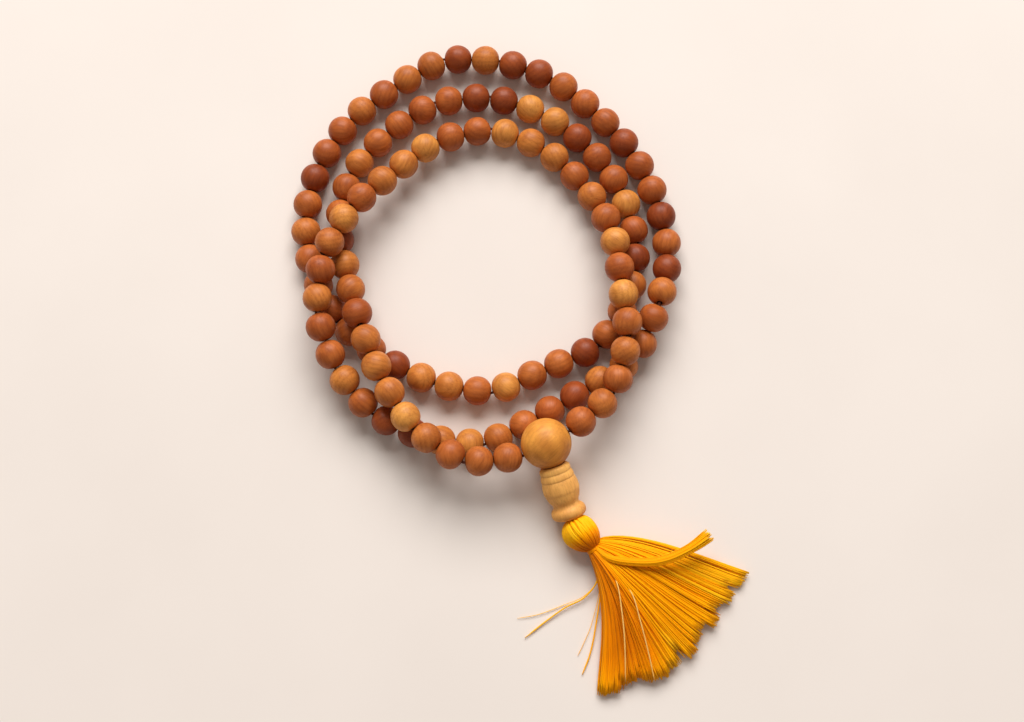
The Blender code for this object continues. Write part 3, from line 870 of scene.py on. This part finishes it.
RAISED_LOCK = [(0.8, 0.2, 5.4), (4.5, -2.7, 6.9), (12.0, -3.7, 7.6), (18.3, -3.1, 8.0), (24.7, -0.3, 8.3),
               (30.0, 3.4, 8.6)]
STRAY_THREADS = [
    ([(0.4, -1.0, 3.8), (1.7, -7.4, 2.4), (-1.6, -12.2, 1.2), (-6.7, -14.9, 0.8), (-12.0, -18.6, 0.5),
      (-17.0, -22.5, 0.4)], 0.20, 0.84),
    ([(0.2, -1.2, 3.6), (1.4, -7.8, 2.0), (-1.9, -12.0, 0.8), (-7.5, -14.4, 0.4), (-13.5, -16.6, 0.4),
      (-19.0, -17.6, 0.35)], 0.09, 0.90),
    ([(0.5, -1.0, 3.4), (2.4, -9.0, 1.6), (0.9, -20.5, 0.8), (-0.5, -26.7, 0.5), (-2.5, -31.7, 0.4)], 0.20, 0.80),
    ([(0.5, -0.8, 3.2), (2.2, -9.0, 1.2), (0.2, -18.5, 0.6), (-2.2, -24.2, 0.4), (-3.6, -27.0, 0.3)], 0.08, 0.85),
    ([(1.2, -1.8, 4.4), (4.0, -5.2, 5.4), (6.2, -8.9, 7.0), (7.4, -16.3, 6.6), (8.1, -24.0, 5.1), (8.3, -33.3, 3.0)],
     0.17, 0.98),
    ([(1.4, -1.7, 4.4), (5.8, -6.4, 5.4), (9.8, -11.3, 7.1), (11.9, -18.0, 6.5), (14.0, -26.0, 4.9),
      (15.6, -33.0, 3.0)], 0.17, 0.98),
]


def make_loose_threads():
    """The lock that lies over the fan, and the few threads that stray from it."""
    strands = []
    middle = free_line(RAISED_LOCK, 22)
    across, over = swept_frames(middle)
    t = np.linspace(0.0, 1.0, 22)
    for _ in range(84):
        angle = RANDOM.uniform(0.0, 2.0 * math.pi)
        out = math.sqrt(RANDOM.uniform(0.0, 1.0))
        width = np.interp(t, [0.0, 0.3, 0.8, 1.0], [0.5, 0.95, 1.25, 1.80]) * out * MM
        level = np.interp(t, [0.0, 0.3, 1.0], [0.8, 0.55, 0.6])
        path = middle + across * (math.cos(angle) * width)[:, None] + over * (math.sin(angle) * width * level)[:, None]
        path[-1] -= (path[-1] - path[-2]) * RANDOM.uniform(0.0, 0.95)
        radii = np.interp(t, [0.0, 0.2, 0.92, 1.0], [0.09, 0.15, 0.15, 0.07]) * MM
        shade = np.interp(t, [0.0, 0.3, 0.7, 0.93, 1.0], [0.60, 0.66, 0.70, 0.80, 0.97])
        strands.append((path, radii, np.clip(shade + RANDOM.uniform(-0.10, 0.10), 0.0, 1.0)))
    for points, radius, tone in STRAY_THREADS:
        path = free_line(points, 30)
        radii = np.interp(np.linspace(0.0, 1.0, 30), [0.0, 0.1, 0.9, 1.0], [0.6, 1.0, 1.0, 0.5]) * radius * MM
        strands.append((path, radii, np.full(30, tone)))
    loose = bundle("tassel_loose_threads", strands, 6)
    return loose


make_head()
make_neck()
for piece in (*make_skirt(), make_underlay(), make_loose_threads()):
    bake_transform(piece)


# ---------------------------------------------------------------- floor, light


def make_floor():
    """A plain pale table top."""
    size = 3.0
    half = 0.5 * size
    shading = Shading("floor_look", 0.6, Specular_IOR_Level=0.3)
    place_node = shading.nodes.new("ShaderNodeTexCoord")
    cloud = shading.noise(place_node.outputs["Object"], 14.0, 4.0)
    shading.feed("Base Color", shading.ramp(cloud, [
        (0.35, (0.760, 0.690, 0.640)), (0.65, (0.785, 0.715, 0.665))]))
    floor = new_mesh("floor", [(-half, -half, 0.0), (half, -half, 0.0), (half, half, 0.0), (-half, half, 0.0)],
                     [(0, 1, 2, 3)], shading.material, smooth=False)
    floor.location.z = -0.00002


def area_light(name, location, target, size, energy, colour):
    """A large soft rectangular light."""
    lamp = bpy.data.lights.new(name, "AREA")
    lamp.shape = "RECTANGLE"
    lamp.size, lamp.size_y = size
    lamp.energy = energy
    lamp.color = colour
    light = bpy.data.objects.new(name, lamp)
    bpy.context.scene.collection.objects.link(light)
    light.location = location
    light.rotation_euler = (Vector(target) - Vector(location)).to_track_quat("-Z", "Y").to_euler()


def make_light():
    """A window beyond the loop, a weak fill and a pale room."""
    area_light("window", (0.0, 1.42, 1.34), (0.0, 0.0, 0.0), (1.7, 1.3), 59.0, (1.0, 0.985, 0.965))
    area_light("fill", (-0.5, -0.5, 1.1), (0.0, 0.0, 0.0), (1.0, 1.0), 0.4, (1.0, 0.94, 0.87))
    world = bpy.data.worlds.new("room")
    world.use_nodes = True
    background = world.node_tree.nodes["Background"]
    background.inputs["Color"].default_value = (1.0, 0.92, 0.84, 1.0)
    background.inputs["Strength"].default_value = 0.28
    bpy.context.scene.world = world
    bpy.context.scene.view_settings.view_transform = "Standard"


make_floor()
make_light()
